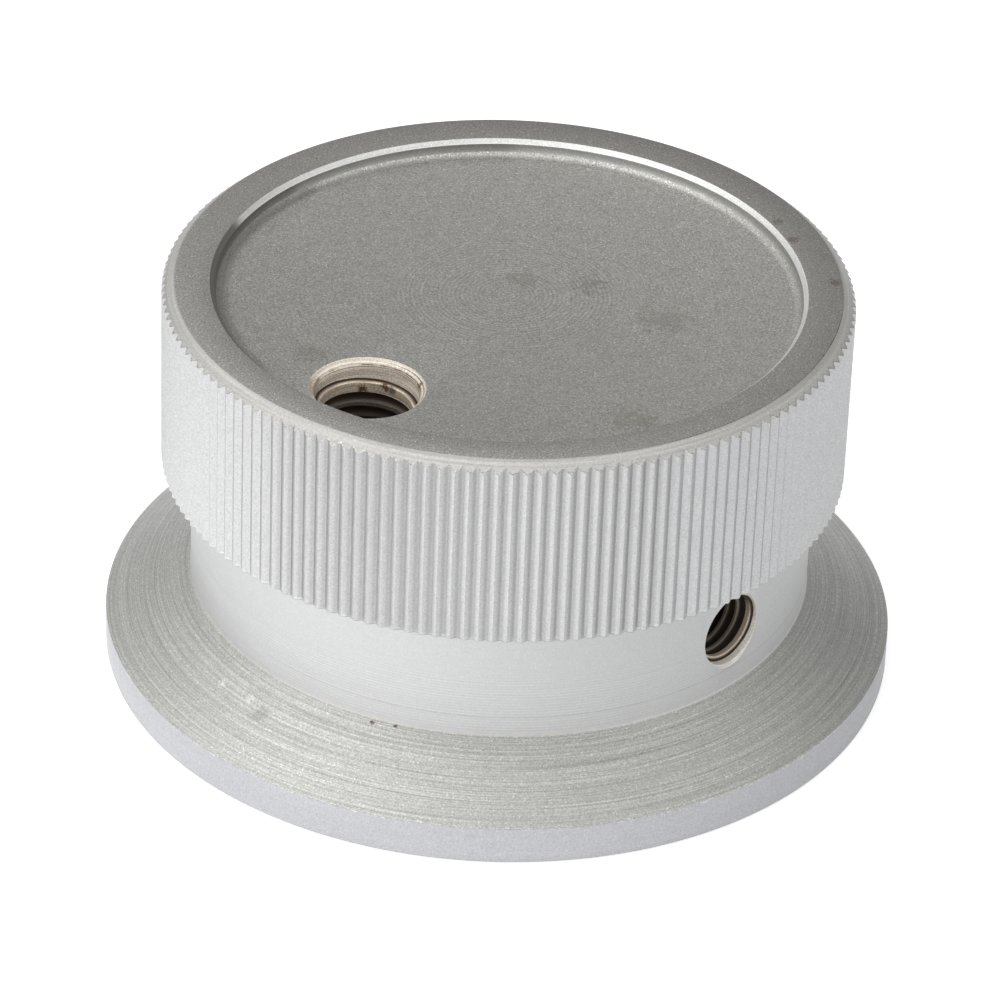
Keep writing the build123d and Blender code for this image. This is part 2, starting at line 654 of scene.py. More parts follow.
class RoundRepeat:
    """A geometry node tree that repeats one sector of a turned piece all the way round it."""

    INPUTS = {
        "Geometry": "Geometry",
        "Count": "Int",
        "Weld Distance": "Float",
        "Waver": "Float",
        "Seed": "Float",
        "Finish": "Material",
    }
    weld_distance = 0.002
    waver_scale = 900.0
    seed = 7.0

    def __init__(self) -> None:
        """Builds the tree and keeps the identifiers of its inputs."""
        self.tree = bpy.data.node_groups.new("repeat_round_the_axis", "GeometryNodeTree")
        sockets = self.tree.interface
        self.identifiers = {
            name: sockets.new_socket(name, in_out="INPUT", socket_type=f"NodeSocket{kind}").identifier
            for name, kind in self.INPUTS.items()
        }
        sockets.new_socket("Geometry", in_out="OUTPUT", socket_type="NodeSocketGeometry")
        self._draw(NodeSheet(self.tree))

    def _draw(self, sheet: NodeSheet) -> None:
        """Adds the nodes: points on the axis, one turned sector on each, welded, wavered and dressed.

        Args:
            sheet: The tree's sheet.
        """
        given = sheet.add("NodeGroupInput").outputs
        points = sheet.add("GeometryNodePoints", {"Count": given["Count"], "Radius": MILLIMETRE}).outputs[0]
        number = sheet.add("GeometryNodeInputIndex").outputs[0]
        angle = sheet.times(number, sheet.over(tau, given["Count"]))
        inputs = {"Axis": (0.0, 0.0, 1.0), "Angle": angle}
        turn = sheet.add("FunctionNodeAxisAngleToRotation", inputs).outputs[0]
        inputs = {"Points": points, "Instance": given["Geometry"], "Rotation": turn}
        sectors = sheet.add("GeometryNodeInstanceOnPoints", inputs).outputs[0]
        real = sheet.add("GeometryNodeRealizeInstances", {0: sectors}).outputs[0]
        inputs = {"Geometry": real, "Distance": given["Weld Distance"]}
        welded = sheet.add("GeometryNodeMergeByDistance", inputs).outputs[0]
        inputs = {"Geometry": welded, "Selection": self._inner_points(sheet)}
        inputs["Offset"] = self._stray(sheet, given)
        wavered = sheet.add("GeometryNodeSetPosition", inputs).outputs[0]
        inputs = {"Geometry": wavered, "Material": given["Finish"]}
        dressed = sheet.add("GeometryNodeSetMaterial", inputs).outputs[0]
        sheet.add("NodeGroupOutput", {0: dressed})

    @staticmethod
    def _inner_points(sheet: NodeSheet) -> Socket:
        """Selects the points away from the open rims, which other surfaces meet point for point.

        Args:
            sheet: The tree's sheet.

        Returns:
            The selection.
        """
        faces_beside = sheet.add("GeometryNodeInputMeshEdgeNeighbors").outputs[0]
        on_rim = sheet.add("FunctionNodeCompare", {2: faces_beside, 3: 1}, data_type="INT", operation="EQUAL")
        on_rim = sheet.add(
            "GeometryNodeFieldOnDomain", {0: on_rim.outputs[0]}, domain="POINT", data_type="BOOLEAN"
        )
        return sheet.add("FunctionNodeBooleanMath", {0: on_rim.outputs[0]}, operation="NOT").outputs[0]

    def _stray(self, sheet: NodeSheet, given: Outputs) -> Socket:
        """Works out how far each point strays from its place.

        Args:
            sheet: The tree's sheet.
            given: The tree's inputs.

        Returns:
            The offset.
        """
        place = sheet.add("GeometryNodeInputPosition").outputs[0]
        inputs = {"Vector": place, "W": given["Seed"], "Scale": self.waver_scale, "Detail": 1.0}
        noise = sheet.add("ShaderNodeTexNoise", inputs, noise_dimensions="4D").outputs["Color"]
        return sheet.scaled(sheet.vector("SUBTRACT", noise, (0.5, 0.5, 0.5)), given["Waver"])

    def repeat(
        self, name: str, sector: bpy.types.Mesh, count: int, finish: bpy.types.Material, waver: float
    ) -> bpy.types.Mesh:
        """Repeats a sector round the axis as a plain mesh.

        Args:
            name: The new mesh's name.
            sector: The surface of one sector.
            count: How many sectors make a full turn.
            finish: The material of the result.
            waver: How far a point may stray.

        Returns:
            The band, with its sectors welded together.
        """
        piece = shown(name, sector)
        modifier = piece.modifiers.new("repeat", "NODES")
        modifier.node_group = self.tree
        values = {
            "Count": count,
            "Weld Distance": self.weld_distance * MILLIMETRE,
            "Waver": waver * MILLIMETRE,
            "Seed": self.seed,
            "Finish": finish,
        }
        for key, value in values.items():
            modifier[self.identifiers[key]] = value
        band = plain_mesh(piece)
        bpy.data.objects.remove(piece)
        return band


@dataclass
class KnurledBand:
    """The straight knurl round the head, from its lower edge to the chamfer above it."""

    bottom: float
    top: float
    radius: float = 27.5
    count: int = 157
    depth: float = 0.32
    chamfer_width: float = 1.0
    chamfer_drop: float = 0.85
    chamfer_edge: float = 0.04
    chamfer_edge_drop: float = 0.05
    tip_rounding: float = 0.12
    tip_lean: float = 0.7
    groove_hold: float = 0.8
    tip_angles: tuple[float, ...] = (0.0, 30.0, 60.0, 90.0)
    length_steps: int = 9
    inset: float = 0.2
    waver: float = 0.02
    burr_shade_width: float = 0.1
    shares: tuple[float, ...] = (-0.5, -0.36, -0.2, 0.0, 0.2, 0.36, 0.5)
    depths: tuple[float, ...] = (1.0, 0.84, 0.34, 0.0, 0.34, 0.84, 1.0)

    @property
    def angles(self) -> list[float]:
        """The angles of the ribs' corners, so that the turned surfaces meet them point for point."""
        return [self._angle(rib + share) for rib in range(self.count) for share in self.shares[:-1]]

    @property
    def inner_radius(self) -> float:
        """Where the ribs meet the flat underside of the head."""
        return self.radius - self.depth - self.inset

    @property
    def chamfer_top_radius(self) -> float:
        """Where the chamfer meets the flat top of the head."""
        return self.radius - self.chamfer_width

    @property
    def top_radius(self) -> float:
        """Where the rounded upper edge of the chamfer ends in the flat top of the head."""
        return self.chamfer_top_radius - self.chamfer_edge

    @property
    def chamfer_slope(self) -> float:
        """How steeply the chamfer rises inwards."""
        return self.chamfer_drop / self.chamfer_width

    def _angle(self, ribs: float) -> float:
        """The angle at a number of ribs from the first one's middle."""
        return tau * (ribs + 0.5) / self.count

    def _profile(self, height: float) -> list[tuple[float, float]]:
        """The radius and height at each share of a rib's width, on its flanks at one height."""
        return [(self.radius - self.depth * cut, height) for cut in self.depths]

    def _shoulder(self) -> list[tuple[float, float]]:
        """Where a rib and its grooves run out in the chamfer: the radius and height at each share."""
        edge = self.top - self.chamfer_drop
        return [
            (radius, edge + (self.radius - radius) * self.chamfer_slope) for radius, _ in self._profile(edge)
        ]

    def _tip(self, angle: float) -> list[tuple[float, float]]:
        """Gives one row of a rib's rounded lower tip.

        Args:
            angle: How far up the rounding the row is, in degrees of a quarter turn.

        Returns:
            The radius and height at each share.
        """
        rise = self.tip_rounding * (1 - cos(radians(angle)))
        back = self.tip_rounding * (1 - sin(radians(angle))) * self.tip_lean
        return [
            (self.radius - self.depth * cut - back * (1 - cut * self.groove_hold), self.bottom + rise)
            for cut in self.depths
        ]

    def _sheet(self, name: str, rows: Sequence[Spots], zones: Sequence[Zone]) -> bpy.types.Mesh:
        """Makes a surface from rows of points.

        Args:
            name: The mesh's name.
            rows: For each row, the radius and height at each share of the rib's width.
            zones: The zone of the faces above each row but the last.

        Returns:
            The mesh.
        """
        bm = bmesh.new()
        angles = [self._angle(share) for share in self.shares]
        grid = [
            [ring(bm, radius, height, [angle])[0] for angle, (radius, height) in zip(angles, row)]
            for row in rows
        ]
        for lower, upper, zone in zip(grid, grid[1:], zones):
            strip(bm, lower, upper, zone)
        return mesh_from(bm, name)

    def rib(self) -> bpy.types.Mesh:
        """Makes one rib: a rounded lower tip, a rounded crest and a flank to each groove.

        Returns:
            The rib's outer surface.
        """
        length = self.top - self.chamfer_drop - self.bottom
        start = self.bottom + self.tip_rounding
        middle = [start + length * step / self.length_steps for step in range(1, self.length_steps)]
        rows = [
            [(self.inner_radius, self.bottom)] * len(self.depths),
            *(self._tip(angle) for angle in self.tip_angles),
            *(self._profile(height) for height in middle),
            self._shoulder(),
        ]
        return self._sheet("rib", rows, [Zone.KNURL] * len(rows))

    def scallop(self) -> bpy.types.Mesh:
        """Makes the piece of the chamfer above one rib.

        Returns:
            The chamfer's surface over the width of a rib.
        """
        # The strip just above the ribs is the burr, drawn darker partly as painted shade of the crease where
        # the ribs meet the chamfer.
        width, rise = self.burr_shade_width, self.burr_shade_width * self.chamfer_slope
        burr_shade_row = [(radius - width, height + rise) for radius, height in self._shoulder()]
        edge = (self.chamfer_top_radius + 2 * self.chamfer_edge, self.top - self.chamfer_edge_drop)
        rim = (self.top_radius, self.top)
        rows = (self._shoulder(), burr_shade_row, [edge] * len(self.depths), [rim] * len(self.depths))
        return self._sheet("scallop", rows, (Zone.KNURL_BURR_SHADE, Zone.HEAD_CHAMFER, Zone.HEAD_CHAMFER))


@dataclass
class TurnedBody:
    """The plain turned surfaces: the base, the coned skirt, the neck and the dished top."""

    skirt_radius: float = 32.0
    skirt_rim_height: float = 3.3
    skirt_slope: float = 30.0
    base_edge: float = 0.35
    rim_edge: float = 0.1
    neck_radius: float = 25.1
    neck_height: float = 10.3
    foot_fillet: float = 0.15
    neck_top_fillet: float = 0.12
    head_height: float = 16.0
    dish_radius: float = 23.3
    dish_depth: float = 1.3
    dish_edge: float = 0.35
    dish_edge_rounding: float = 0.08
    dish_corner: float = 0.75
    dish_drift: float = 0.33
    dish_arc_steps: int = 5

    @property
    def neck_foot(self) -> float:
        """The height at which the skirt meets the neck."""
        return self.skirt_rim_height + (self.skirt_radius - self.neck_radius) * tan(radians(self.skirt_slope))

    @property
    def head_bottom(self) -> float:
        """The height of the head's flat underside."""
        return self.neck_foot + self.neck_height

    @property
    def head_top(self) -> float:
        """The height of the head's flat top."""
        return self.head_bottom + self.head_height

    @property
    def dish_floor(self) -> float:
        """The height of the dish's floor."""
        return self.head_top - self.dish_depth

    def below_the_knurl(self, band: KnurledBand) -> list[Corner]:
        """Draws the outline from the centre of the base to the underside of the head.

        Args:
            band: The knurl that the outline meets.

        Returns:
            The outline.
        """
        return rounded([
            Corner(0.0, 0.0, Zone.BASE),
            Corner(self.skirt_radius, 0.0, Zone.BASE, self.base_edge),
            Corner(self.skirt_radius, self.skirt_rim_height, Zone.SKIRT_RIM, self.rim_edge),
            Corner(self.neck_radius, self.neck_foot, Zone.SKIRT, self.foot_fillet),
            Corner(self.neck_radius, band.bottom, Zone.NECK, self.neck_top_fillet),
            Corner(band.inner_radius, band.bottom, Zone.UNDERSIDE),
        ])

    def above_the_knurl(self, band: KnurledBand) -> list[Corner]:
        """Draws the outline from the chamfer to the centre of the dish.

        Args:
            band: The knurl that the outline meets.

        Returns:
            The outline.
        """
        edge, rounding = self.dish_edge, self.dish_edge_rounding
        return rounded([
            Corner(band.top_radius, self.head_top, Zone.HEAD_TOP),
            Corner(self.dish_radius + edge, self.head_top, Zone.HEAD_TOP, rounding),
            Corner(self.dish_radius, self.head_top - edge, Zone.DISH_EDGE, rounding),
            Corner(self.dish_radius, self.dish_floor, Zone.DISH_WALL, self.dish_corner),
            Corner(0.0, self.dish_floor, Zone.DISH_FLOOR),
        ], self.dish_arc_steps)


@dataclass(frozen=True)
class HoleMouth:
    """The middle of a hole's mouth, the direction into the hole, and one direction across it."""

    place: Point
    inward: Point
    across: Point


@dataclass
class TappedHole:
    """A countersunk hole with a plain mouth and a right-hand thread, as a solid to cut away.

    The plain outline goes down the mouth by radius and depth. A ridge of the thread goes by its share
    of the pitch and its share of the way from the thread's root to its crest.
    """

    name: str
    mouth: HoleMouth
    mouth_zone: Zone
    thread_zone: Zone
    plain_outline: Spots
    root_radius: float
    crest_radius: float
    pitch: float
    thread_start: float
    start_angle: float
    depth: float
    first_ridge: Spots
    ridge: Spots
    first_fade: float = 0.3
    run_out: float = 1.2
    overshoot: float = 2.0
    segments: int = 72

    def _ring(self, bm: bmesh.types.BMesh, radius: float, depth: float) -> list:
        """Adds a flat ring of vertices and returns it."""
        return ring(bm, radius, depth, full_turn(self.segments, self.start_angle))

    def cutter(self) -> bpy.types.Object:
        """Makes the solid that the hole is cut with.

        Returns:
            The solid, in place.
        """
        bm = bmesh.new()
        previous = self._ring(bm, self.plain_outline[0][0], -self.overshoot)
        face(bm, previous, self.mouth_zone)
        for radius, depth in self.plain_outline:
            following = self._ring(bm, radius, depth)
            close_ring(bm, previous, following, self.mouth_zone)
            previous = following
        self._thread(bm, previous)
        bmesh.ops.recalc_face_normals(bm, faces=bm.faces)
        inward, across = Vector(self.mouth.inward), Vector(self.mouth.across)
        axes = Matrix((across, inward.cross(across), inward)).transposed().to_4x4()
        bm.transform(Matrix.Translation(self.mouth.place) @ axes)
        return shown(self.name, mesh_from(bm, self.name))

    def _helix(self, bm: bmesh.types.BMesh, turns: int) -> list[list]:
        """Adds the vertices of the thread.

        Args:
            bm: The mesh.
            turns: How many turns the thread has.

        Returns:
            The rows of vertices, each one turn long and a step further down the ridge's profile.
        """
        rows_a_turn = len(self.ridge)
        rows = []
        for row in range(turns * rows_a_turn + 1):
            first = row < rows_a_turn
            share, lift = (self.first_ridge if first else self.ridge)[row % rows_a_turn]
            line = []
            for step, angle in enumerate(full_turn(self.segments, self.start_angle)):
                around = step / self.segments
                fade = min(1.0, around / self.first_fade) if first else 1.0
                radius = self.root_radius - (self.root_radius - self.crest_radius) * lift * fade
                depth = self.thread_start + (row // rows_a_turn + share + around) * self.pitch
                line += ring(bm, radius, depth, [angle])
            rows.append(line)
        return rows

    def _thread(self, bm: bmesh.types.BMesh, above: Sequence) -> None:
        """Adds the thread below the plain mouth, and the drilled point that ends the hole.

        Args:
            bm: The mesh.
            above: The ring that the thread starts from.
        """
        turns = int((self.depth - self.thread_start) / self.pitch)
        helix, rows_a_turn, zone = self._helix(bm, turns), len(self.ridge), self.thread_zone
        strip(bm, above, helix[0], self.mouth_zone)
        face(bm, (above[-1], above[0], *(row[0] for row in helix[: rows_a_turn + 1]), helix[0][-1]), zone)
        for row, (upper, lower) in enumerate(zip(helix, helix[1:])):
            strip(bm, upper, lower, zone)
            following = [line[0] for line in helix[row + rows_a_turn : row + rows_a_turn + 2]]
            if len(following) == 2:
                face(bm, (upper[-1], *following, lower[-1]), zone)
        floor_depth = self.thread_start + (turns + self.run_out) * self.pitch
        floor = self._ring(bm, self.crest_radius, floor_depth)
        strip(bm, helix[-1], floor, zone)
        ends = [row[-1] for row in helix[-1 - rows_a_turn :]]
        face(bm, (helix[-1][0], floor[0], floor[-1], *reversed(ends)), zone)
        point = self.crest_radius / tan(radians(DRILL_POINT_ANGLE / 2))
        close_ring(bm, floor, ring(bm, 0.0, floor_depth + point, ()), zone)


@dataclass
class HandleHole:
    """Where the hole for the crank handle goes, off centre in the floor of the dish."""

    floor: float
    offset: float = 18.25
    angle: float = -125.6

    @property
    def mouth(self) -> HoleMouth:
        """Works out where the hole starts.

        Returns:
            The hole's mouth in the floor of the dish.
        """
        turned = radians(self.angle)
        place = (self.offset * cos(turned), self.offset * sin(turned), self.floor)
        return HoleMouth(place, inward=(0.0, 0.0, -1.0), across=(1.0, 0.0, 0.0))

    def hole(self) -> TappedHole:
        """Lays out the hole.

        Returns:
            The hole, with its M8 thread.
        """
        return TappedHole(
            name="handle_hole",
            mouth=self.mouth,
            mouth_zone=Zone.HANDLE_MOUTH,
            thread_zone=Zone.HANDLE_THREAD,
            plain_outline=((4.55, 0.0), (4.15, 0.4), (4.1, 0.5), (4.06, 0.88)),
            root_radius=4.05,
            crest_radius=3.6,
            pitch=1.25,
            thread_start=0.975,
            start_angle=90.0,
            depth=18.0,
            first_ridge=((0.0, 0.0), (0.04, 0.0), (0.10, 0.85), (0.14, 1.0), (0.80, 1.0), (0.87, 0.5)),
            ridge=((0.0, 0.0), (0.30, 0.0), (0.46, 0.7), (0.54, 1.0), (0.80, 1.0), (0.87, 0.5)),
        )


@dataclass
class SetScrewHole:
    """Where the hole for the set screw goes, through the neck to the shaft bore."""

    neck_radius: float
    height: float
    angle: float = -42.3

    @property
    def mouth(self) -> HoleMouth:
        """Works out where the hole starts.

        Returns:
            The hole's mouth in the side of the neck.
        """
        ahead, aside = cos(radians(self.angle)), sin(radians(self.angle))
        place = (self.neck_radius * ahead, self.neck_radius * aside, self.height)
        return HoleMouth(place, inward=(-ahead, -aside, 0.0), across=(0.0, 0.0, 1.0))

    def hole(self) -> TappedHole:
        """Lays out the hole.

        Returns:
            The hole, with its M6 thread.
        """
        return TappedHole(
            name="set_screw_hole",
            mouth=self.mouth,
            mouth_zone=Zone.SCREW_MOUTH,
            thread_zone=Zone.SCREW_THREAD,
            plain_outline=((3.25, 0.0), (3.02, 0.2), (3.0, 0.23)),
            root_radius=3.0,
            crest_radius=2.62,
            pitch=1.0,
            thread_start=0.25,
            start_angle=0.0,
            depth=21.0,
            first_ridge=((0.0, 0.0), (0.06, 0.1), (0.12, 0.8), (0.16, 1.0), (0.55, 1.0), (0.62, 0.0)),
            ridge=((0.0, 0.0), (0.20, 0.0), (0.30, 0.7), (0.36, 1.0), (0.56, 1.0), (0.64, 0.0)),
        )


@dataclass
class ShaftBore:
    """The blind bore for the shaft, up from the base, as a solid to cut away."""

    radius: float = 6.0
    depth: float = 24.0
    chamfer: float = 0.5
    overshoot: float = 1.0
    segments: int = 96

    def cutter(self) -> bpy.types.Object:
        """Makes the solid that the bore is cut with.

        Returns:
            The solid, in place.
        """
        point = self.radius / tan(radians(DRILL_POINT_ANGLE / 2))
        bm = bmesh.new()
        outline = (
            (0.0, -self.overshoot),
            (self.radius + self.chamfer + self.overshoot, -self.overshoot),
            (self.radius, self.chamfer),
            (self.radius, self.depth),
            (0.0, self.depth + point),
        )
        corners = [Corner(radius, height, Zone.SHAFT_BORE) for radius, height in outline]
        spin(bm, corners, full_turn(self.segments))
        bmesh.ops.recalc_face_normals(bm, faces=bm.faces)
        return shown("shaft_bore", mesh_from(bm, "shaft_bore"))


BODY = TurnedBody()
BAND = KnurledBand(BODY.head_bottom, BODY.head_top)
HANDLE_HOLE = HandleHole(BODY.dish_floor)
SET_SCREW_HOLE = SetScrewHole(BODY.neck_radius, (BODY.neck_foot + BODY.head_bottom) / 2)


# Finishes


@dataclass(frozen=True)
class Arc:
    """A part of a full turn: the angle of its middle, and how far it reaches to each side."""

    middle: float
    reach: float

    def hold(self, sheet: NodeSheet, runs: dict[str, Socket], mask: Socket) -> Socket:
        """Holds a mask to the arc.

        Args:
            sheet: The material's sheet.
            runs: The measured values by name.
            mask: The mask.

        Returns:
            The mask inside the arc.
        """
        inputs = {
            "Cosine": runs["Cosine"],
            "Sine": runs["Sine"],
            "Way Cosine": cos(radians(self.middle)),
            "Way Sine": sin(radians(self.middle)),
            "Least": cos(radians(self.reach)),
        }
        return sheet.times(mask, Facing().place(sheet, inputs)["Mask"])


@dataclass(frozen=True, kw_only=True)
class Mark:
    """A part of a surface that differs in colour: wear, rust and stains, and also painted shade and painted
    highlight. Its dirt amount, for real dirt and for painted shade alike, is how far it hides the metal and
    roughens it.
    """

    colour: Colour
    strength: float = 1.0
    dirt_and_shade: float = 0.0
    arc: Arc | None = None

    def mask(self, sheet: NodeSheet, runs: dict[str, Socket]) -> Socket:
        """Gives the mark's place on the surface.

        Args:
            sheet: The material's sheet.
            runs: The measured values by name.

        Returns:
            A mask that is 1 where the mark is full.
        """
        raise NotImplementedError

    def amount(self, sheet: NodeSheet, runs: dict[str, Socket]) -> Socket:
        """Gives how strongly the mark shows at each place of the surface.

        Args:
            sheet: The material's sheet.
            runs: The measured values by name.

        Returns:
            The mask at the mark's strength, inside its arc.
        """
        mask = self.mask(sheet, runs)
        if self.arc:
            mask = self.arc.hold(sheet, runs, mask)
        return sheet.times(mask, self.strength)


@dataclass(frozen=True)
class ShadeFade(Mark):
    """A painted shade that sets in along a run, such as shade that gets deeper down a hole or into a groove.
    """

    run: Run
    start: float
    full: float

    def mask(self, sheet: NodeSheet, runs: dict[str, Socket]) -> Socket:
        """Gives a mask that grows along the run."""
        return sheet.ramp(runs[self.run.value], self.start, self.full)


@dataclass(frozen=True)
class ToolAndLightLine(Mark):
    """A ring along the work, lighter or darker than the metal round it: a mark that a tool left, or a line of
    painted shade or painted highlight.
    """

    run: Run
    at: float
    half_width: float
    breaks: float = 0.0
    size: float = 1.0

    def mask(self, sheet: NodeSheet, runs: dict[str, Socket]) -> Socket:
        """Gives the mark's place on the surface.

        Args:
            sheet: The material's sheet.
            runs: The measured values by name.

        Returns:
            A mask that is 1 where the mark is full.
        """
        inputs = {"Place": runs["Place"], "Run": runs[self.run.value], "At": self.at}
        inputs |= {"Half Width": self.half_width, "Breaks": self.breaks, "Size": self.size}
        return RingLine().place(sheet, inputs)["Mask"]


@dataclass(frozen=True)
class Patch(Mark):
    """A stain, pit or bright dent with a ragged edge."""

    centre: Point
    reach: float
    raggedness: float = 0.6
    size: float = 0.4

    def mask(self, sheet: NodeSheet, runs: dict[str, Socket]) -> Socket:
        """Gives the mark's place on the surface.

        Args:
            sheet: The material's sheet.
            runs: The measured values by name.

        Returns:
            A mask that is 1 where the mark is full.
        """
        inputs = {"Place": runs["Place"], "Centre": self.centre, "Reach": self.reach}
        inputs |= {"Raggedness": self.raggedness, "Size": self.size}
        return RaggedPatch().place(sheet, inputs)["Mask"]


@dataclass(frozen=True)
class WornAndShadedEdge(Mark):
    """Worn spots along an edge, or spots of painted shade along it."""

    run: Run
    at: float
    half_width: float
    size: float = 0.5
    share: float = 0.4

    def mask(self, sheet: NodeSheet, runs: dict[str, Socket]) -> Socket:
        """Gives the mark's place on the surface.

        Args:
            sheet: The material's sheet.
            runs: The measured values by name.

        Returns:
            A mask that is 1 where the mark is full.
        """
        inputs = {"Place": runs["Place"], "Run": runs[self.run.value], "At": self.at}
        inputs |= {"Half Width": self.half_width, "Size": self.size, "Share": self.share}
        return EdgeNicksAndShade().place(sheet, inputs)["Mask"]


@dataclass(frozen=True)
class MetalFinish:
    """How one zone of the aluminium looks: its colour, gloss, grain, tool marks and wear, and any painted
    shade or painted highlight among its marks.
    """

    colour: Colour
    roughness: float = 0.44
    metallic: float = 1.0
    grain: float = 0.14
    grain_contrast: float = 0.3
    glints: float = 0.5
    pits: float = 0.0
    run: Run = Run.OUTWARD
    ring_pitch: float = 0.25
    ring_contrast: float = 0.04
    ring_breaks: float = 1.5
    ring_evenness: float = 0.0
    ring_span: tuple[float, float] | None = None
    span_start_blur: float = 0.4
    span_end_blur: float = 0.8
    bump: float = 0.006
    ring_bump: float = 0.006
    gloss_swing: float = -0.15
    dirt_and_shade_roughness: float = 0.4
    hole: HoleMouth | None = None
    marks: tuple[Mark, ...] = ()

    def dress(self, name: str) -> bpy.types.Material:
        """Builds the material. Each mark lies over the marks before it.

        Args:
            name: The material's name.

        Returns:
            The material.
        """
        material, sheet = node_material(name)
        runs = self._runs(sheet)
        inputs = {"Place": runs["Place"], "Grain": self.grain, "Contrast": self.grain_contrast}
        grain = BlastedGrain().place(sheet, inputs | {"Glints": self.glints, "Pits": self.pits})
        rings = self._rings(sheet, runs)
        shade = sheet.times(grain["Shade"], rings["Shade"])
        colour = sheet.blend(1.0, (*self.colour, 1.0), sheet.grey(shade), "MULTIPLY")
        # Marks with a dirt amount make the metal matte. On rust this is real dirt; on the shade fades in the
        # holes it is painted shade.
        dirt_and_shade: Socket | float = 0.0
        for mark in self.marks:
            amount = mark.amount(sheet, runs)
            colour = sheet.blend(amount, colour, (*mark.colour, 1.0))
            if mark.dirt_and_shade:
                dirt_and_shade = sheet.math("MAXIMUM", dirt_and_shade, sheet.times(amount, mark.dirt_and_shade))
        metallic: Socket | float = self.metallic
        if isinstance(dirt_and_shade, Socket):
            metallic = sheet.times(sheet.less(1.0, dirt_and_shade), self.metallic)
        ring_height = sheet.times(rings["Height"], self.ring_bump)
        height = sheet.math("MULTIPLY_ADD", grain["Height"], self.bump, ring_height)
        bump = sheet.add("ShaderNodeBump", {"Height": height, "Strength": 1.0, "Distance": MILLIMETRE})
        roughness = sheet.math("MULTIPLY_ADD", sheet.less(shade, 1.0), self.gloss_swing, self.roughness)
        roughness = sheet.math("MULTIPLY_ADD", dirt_and_shade, self.dirt_and_shade_roughness, roughness)
        inputs = {"Base Color": colour, "Roughness": roughness, "Metallic": metallic}
        inputs["Normal"] = bump.outputs[0]
        metal = sheet.add("ShaderNodeBsdfPrincipled", inputs)
        sheet.add("ShaderNodeOutputMaterial", {"Surface": metal.outputs[0]})
        return material

    def _runs(self, sheet: NodeSheet) -> dict[str, Socket]:
        """Measures a point of the surface, in millimetres.

        Args:
            sheet: The material's sheet.

        Returns:
            The point and its measured values, by name.
        """
        metres = sheet.add("ShaderNodeTexCoord").outputs["Object"]
        inputs = {"Vector": metres, "Scale": (1 / MILLIMETRE,) * 3}
        place = sheet.add("ShaderNodeMapping", inputs).outputs[0]
        measured = list(TurnedPlace().place(sheet, {"Place": place}))
        if self.hole:
            inputs = {"Place": place, "Mouth": self.hole.place, "Inward": self.hole.inward}
            measured += HolePlace().place(sheet, inputs)
        return {"Place": place} | {socket.name: socket for socket in measured}

    def _rings(self, sheet: NodeSheet, runs: dict[str, Socket]) -> Outputs:
        """Places the turning marks, held to their span if they have one.

        Args:
            sheet: The material's sheet.
            runs: The measured values by name.

        Returns:
            The group's outputs.
        """
        run = runs[self.run.value]
        contrast: Socket | float = self.ring_contrast
        if self.ring_span:
            start, end = self.ring_span
            after = sheet.ramp(run, start - self.span_start_blur, start + self.span_start_blur)
            before = sheet.ramp(run, end - self.span_end_blur, end + self.span_end_blur, 1.0, 0.0)
            contrast = sheet.times(sheet.times(after, before), self.ring_contrast)
        inputs = {
            "Run": run,
            "Cosine": runs["Cosine"],
            "Sine": runs["Sine"],
            "Pitch": self.ring_pitch,
            "Contrast": contrast,
            "Breaks": self.ring_breaks,
            "Evenness": self.ring_evenness,
        }
        return TurningMarks().place(sheet, inputs)


BRIGHT: Colour = (0.86, 0.85, 0.82)
CREAM: Colour = (0.74, 0.70, 0.61)
BEIGE: Colour = (0.60, 0.52, 0.42)
BROWN: Colour = (0.36, 0.28, 0.20)
SHADOW: Colour = (0.15, 0.145, 0.13)
STAIN: Colour = (0.22, 0.19, 0.13)
RUST: Colour = (0.13, 0.055, 0.025)
# The five colours below are painted shade in the tapped holes: deeper down each hole and in the thread's
# roots.
HANDLE_HOLE_SHADE: Colour = (0.05, 0.04, 0.032)
SCREW_HOLE_SHADE: Colour = (0.13, 0.105, 0.08)
HANDLE_GROOVE_SHADE: Colour = (0.035, 0.02, 0.012)
SCREW_GROOVE_SHADE: Colour = (0.03, 0.02, 0.014)
DEEP_HOLE_SHADE: Colour = (0.014, 0.012, 0.010)

